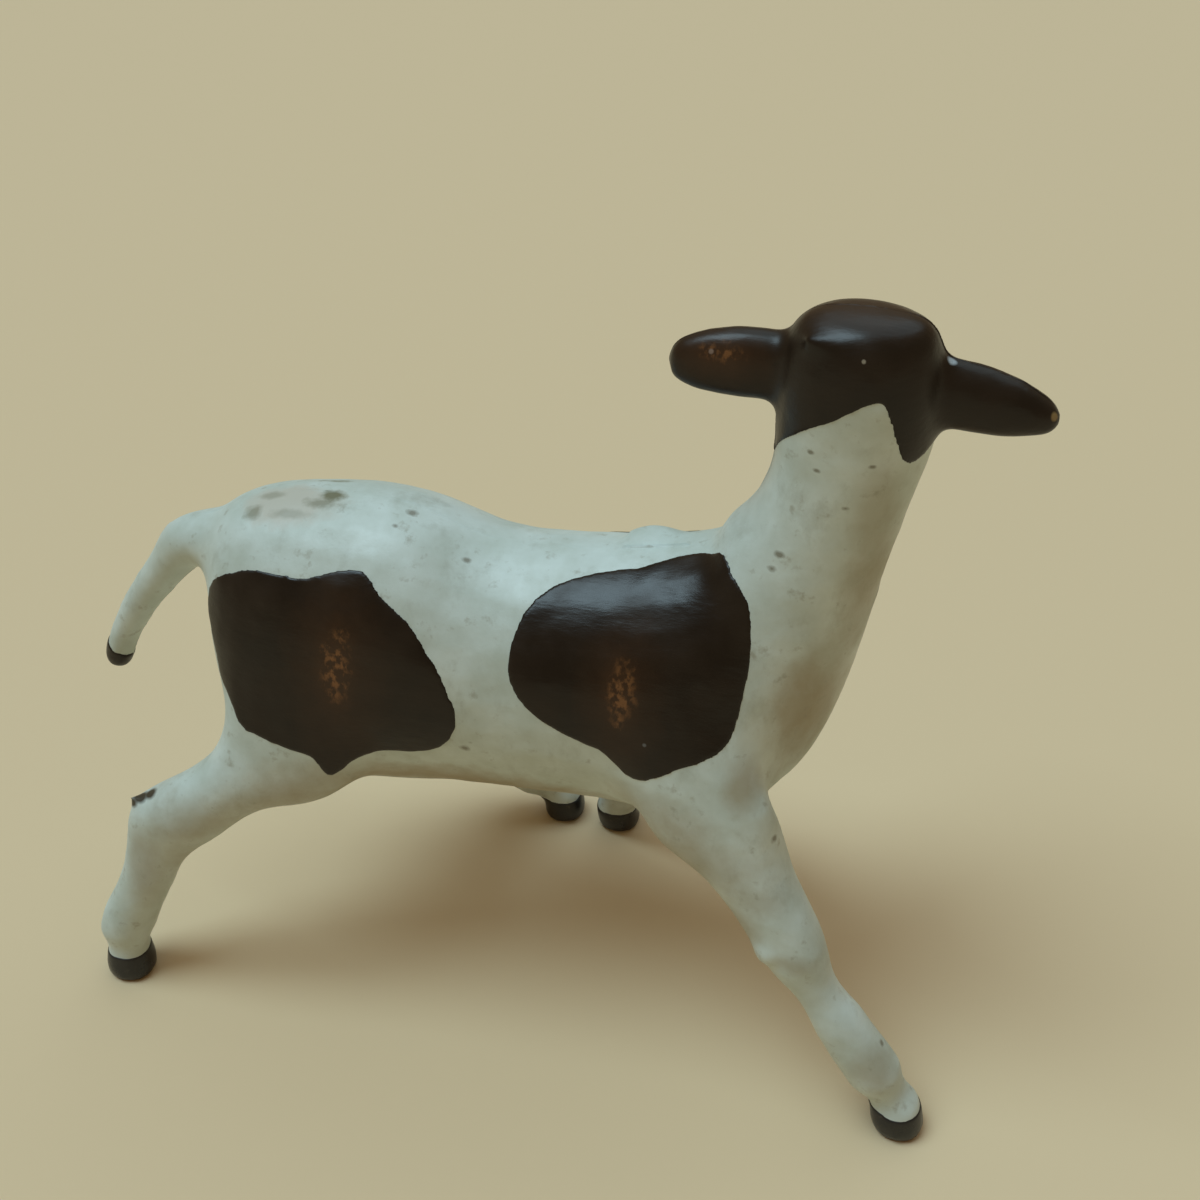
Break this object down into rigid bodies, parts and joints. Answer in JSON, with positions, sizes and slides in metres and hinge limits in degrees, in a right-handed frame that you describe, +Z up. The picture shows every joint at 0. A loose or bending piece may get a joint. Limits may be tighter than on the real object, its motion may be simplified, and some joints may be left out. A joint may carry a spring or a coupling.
{
  "type": "toy farm animal figure",
  "caption": "Small hand-painted calf figure in a gallop with its head turned to its left, standing on flat soles.",
  "frame": {"origin": "middle of the bounding box, on the plane that the four soles stand on", "axes": "+X from the rump towards the breast, +Y to the calf's left, where its face looks, +Z up"},
  "size_m": [0.062, 0.0268, 0.0519],
  "materials": {
    "white_paint": "off-white brushed paint with a soft sheen, dirt specks and wear",
    "brown_paint": "very dark brown brushed paint, half gloss, rubbed to an orange brown in places",
    "black_paint": "black brushed paint, half gloss",
    "muzzle_paint": "pinkish brown paint with a soft sheen"
  },
  "bodies": {
    "root": {"body_moulding": "white_paint", "head": "brown_paint", "muzzle": "muzzle_paint", "right_eye": "black_paint", "left_eye": "black_paint", "tail_tip": "brown_paint", "right_hip_patch": "brown_paint", "right_shoulder_patch": "brown_paint", "left_hip_patch": "brown_paint", "left_shoulder_patch": "brown_paint", "right_fore_hoof": "black_paint", "right_hind_hoof": "black_paint", "left_fore_hoof": "black_paint", "left_hind_hoof": "black_paint"}
  },
  "joints": []
}
